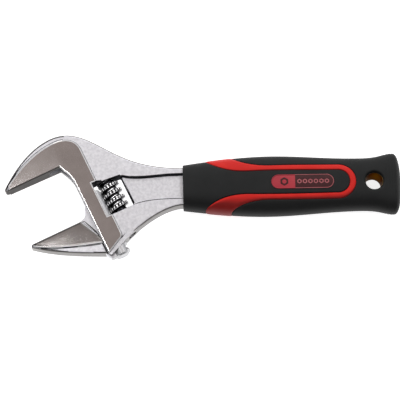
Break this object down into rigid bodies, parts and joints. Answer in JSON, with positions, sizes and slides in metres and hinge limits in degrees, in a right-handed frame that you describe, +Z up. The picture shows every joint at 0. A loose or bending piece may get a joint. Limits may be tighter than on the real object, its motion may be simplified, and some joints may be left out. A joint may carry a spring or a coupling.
{
  "type": "adjustable wrench",
  "caption": "Wide-opening adjustable wrench with a sliding jaw on a rack, a knurled adjusting screw and a two-colour moulded grip with a hanging hole.",
  "frame": {"origin": "centre of the bounding box in plan, on the plane that the wrench lies on", "axes": "+X along the grip from the head to the butt, +Y across the tool towards the fixed jaw, +Z up out of the wrench's flat face"},
  "size_m": [0.21, 0.068, 0.0184],
  "materials": {
    "chrome_body": "polished flats, satin elsewhere",
    "chrome_jaw": "polished flats, satin elsewhere",
    "chrome_knurl": "bright plated",
    "pin_steel": "dark oiled steel",
    "spring_steel": "drawn wire",
    "red_plastic": "moulded, satin",
    "black_rubber": "fine moulded texture",
    "badge_plastic": "moulded, semi-gloss",
    "bush_brass": "dull brass"
  },
  "bodies": {
    "body": {"wrench_body": "chrome_body", "knurl_pin": "pin_steel", "knurl_spring": "spring_steel", "grip_core": "red_plastic", "grip_sleeve": "black_rubber", "grip_shell": "black_rubber", "badge_front": "badge_plastic", "badge_back": "badge_plastic", "hang_bush": "bush_brass"},
    "jaw": {"movable_jaw": "chrome_jaw"},
    "knurl": {"knurl": "chrome_knurl"}
  },
  "joints": [
    {"name": "jaw_slide", "type": "slide", "parent": "body", "child": "jaw", "axis": [0.4147, -0.91, 0], "range_m": [-0.0319, 0.0065]},
    {"name": "knurl_spin", "type": "hinge", "parent": "body", "child": "knurl", "pos_m": [-0.0473, 0.00025, 0.0092], "axis": [0.4147, -0.91, 0], "range_deg": [-590, 2880]}
  ],
  "couplings": [
    {"joint": "knurl_spin", "follows": "jaw_slide", "rad_per_m": -1570.8}
  ]
}
